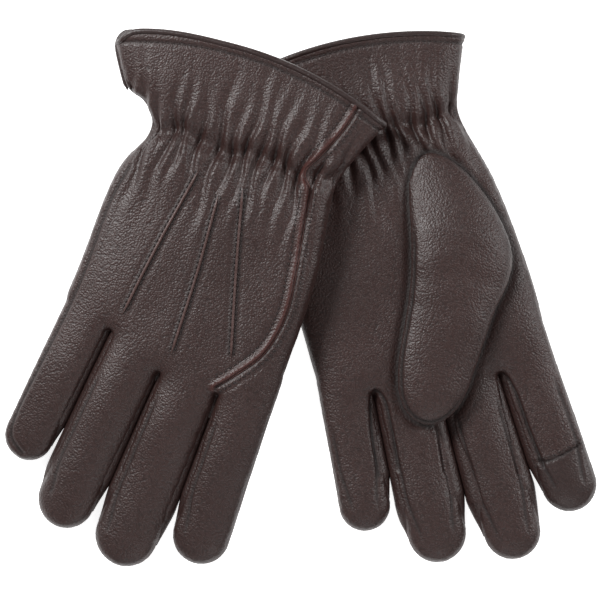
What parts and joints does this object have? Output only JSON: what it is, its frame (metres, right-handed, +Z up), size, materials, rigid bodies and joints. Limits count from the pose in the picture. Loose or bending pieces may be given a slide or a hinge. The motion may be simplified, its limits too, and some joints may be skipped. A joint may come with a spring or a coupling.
{
  "type": "touchscreen gloves",
  "caption": "Pair of dark brown leather dress gloves with gathered wrists, flared bound cuffs, pointed backs and a touch-sensitive index fingertip, lying overlapped.",
  "frame": {"origin": "bottom centre of the pair's bounding box, on the surface that the gloves lie on", "axes": "+Z up off the surface, +Y towards the cuffs, +X towards the left-hand glove"},
  "size_m": [0.286, 0.259, 0.04],
  "materials": {
    "leather": "satin, fine pebble grain",
    "gusset_leather": "satin, fine pebble grain",
    "touch_leather": "satin, slightly smoother",
    "binding": "satin",
    "lining": "matte knit",
    "elastic": "matte woven elastic"
  },
  "bodies": {
    "left_little": {"left_little_back": "leather", "left_little_palm": "leather", "left_little_sides": "gusset_leather", "left_little_lining": "lining"},
    "left_ring": {"left_ring_back": "leather", "left_ring_palm": "leather", "left_ring_sides": "gusset_leather", "left_ring_lining": "lining"},
    "left_middle": {"left_middle_back": "leather", "left_middle_palm": "leather", "left_middle_sides": "gusset_leather", "left_middle_lining": "lining"},
    "left_index": {"left_index_back": "leather", "left_index_touch_patch": "touch_leather", "left_index_palm": "leather", "left_index_sides": "gusset_leather", "left_index_lining": "lining"},
    "left_thumb": {"left_thumb_back": "leather", "left_thumb_front": "leather", "left_thumb_lining": "lining"},
    "left_hand": {"left_back_panel": "leather", "left_palm_panel": "leather", "left_little_side_panel": "leather", "left_little_ring_gusset": "gusset_leather", "left_ring_middle_gusset": "gusset_leather", "left_middle_index_gusset": "gusset_leather", "left_index_side_panel": "leather", "left_cuff_binding": "binding", "left_hand_lining": "lining", "left_wrist_elastic": "elastic"},
    "right_little": {"right_little_back": "leather", "right_little_palm": "leather", "right_little_sides": "gusset_leather", "right_little_lining": "lining"},
    "right_ring": {"right_ring_back": "leather", "right_ring_palm": "leather", "right_ring_sides": "gusset_leather", "right_ring_lining": "lining"},
    "right_middle": {"right_middle_back": "leather", "right_middle_palm": "leather", "right_middle_sides": "gusset_leather", "right_middle_lining": "lining"},
    "right_index": {"right_index_back": "leather", "right_index_touch_patch": "touch_leather", "right_index_palm": "leather", "right_index_sides": "gusset_leather", "right_index_lining": "lining"},
    "right_thumb": {"right_thumb_back": "leather", "right_thumb_front": "leather", "right_thumb_lining": "lining"},
    "right_hand": {"right_back_panel": "leather", "right_palm_panel": "leather", "right_little_side_panel": "leather", "right_little_ring_gusset": "gusset_leather", "right_ring_middle_gusset": "gusset_leather", "right_middle_index_gusset": "gusset_leather", "right_index_side_panel": "leather", "right_cuff_binding": "binding", "right_hand_lining": "lining", "right_wrist_elastic": "elastic"}
  },
  "joints": [
    {"name": "right_glove_lift", "type": "slide", "parent": "left_hand", "child": "right_hand", "axis": [0, 0, 1], "range_m": [0, 0.12]},
    {"name": "left_little_bend", "type": "hinge", "parent": "left_hand", "child": "left_little", "pos_m": [0.02451, -0.06867, 0.0155], "axis": [-0.9854, -0.1701, 0], "range_deg": [0, 85]},
    {"name": "left_ring_bend", "type": "hinge", "parent": "left_hand", "child": "left_ring", "pos_m": [0.05744, -0.07829, 0.0155], "axis": [-0.9774, -0.2112, 0], "range_deg": [0, 85]},
    {"name": "left_middle_bend", "type": "hinge", "parent": "left_hand", "child": "left_middle", "pos_m": [0.09109, -0.07201, 0.0155], "axis": [-0.96, -0.28, 0], "range_deg": [0, 85]},
    {"name": "left_index_bend", "type": "hinge", "parent": "left_hand", "child": "left_index", "pos_m": [0.11762, -0.05346, 0.0155], "axis": [-0.9473, -0.3204, 0], "range_deg": [0, 85]},
    {"name": "left_thumb_swing", "type": "hinge", "parent": "left_hand", "child": "left_thumb", "pos_m": [0.07286, 0.04163, 0.016], "axis": [0, 0, 1], "range_deg": [0, 80]},
    {"name": "right_little_bend", "type": "hinge", "parent": "right_hand", "child": "right_little", "pos_m": [-0.11523, -0.03789, 0.00929], "axis": [0.8826, -0.4649, 0.0697], "range_deg": [0, 85]},
    {"name": "right_ring_bend", "type": "hinge", "parent": "right_hand", "child": "right_ring", "pos_m": [-0.09576, -0.06465, 0.01058], "axis": [0.8969, -0.4364, 0.0714], "range_deg": [0, 85]},
    {"name": "right_middle_bend", "type": "hinge", "parent": "right_hand", "child": "right_middle", "pos_m": [-0.06661, -0.07751, 0.01292], "axis": [0.9197, -0.3857, 0.0741], "range_deg": [0, 85]},
    {"name": "right_index_bend", "type": "hinge", "parent": "right_hand", "child": "right_index", "pos_m": [-0.03403, -0.07901, 0.01573], "axis": [0.9368, -0.3414, 0.0763], "range_deg": [0, 85]},
    {"name": "right_thumb_swing", "type": "hinge", "parent": "right_hand", "child": "right_thumb", "pos_m": [-0.03334, 0.01186, 0.01669], "axis": [-0.0867, -0.0153, 0.9961], "range_deg": [0, 22]}
  ]
}
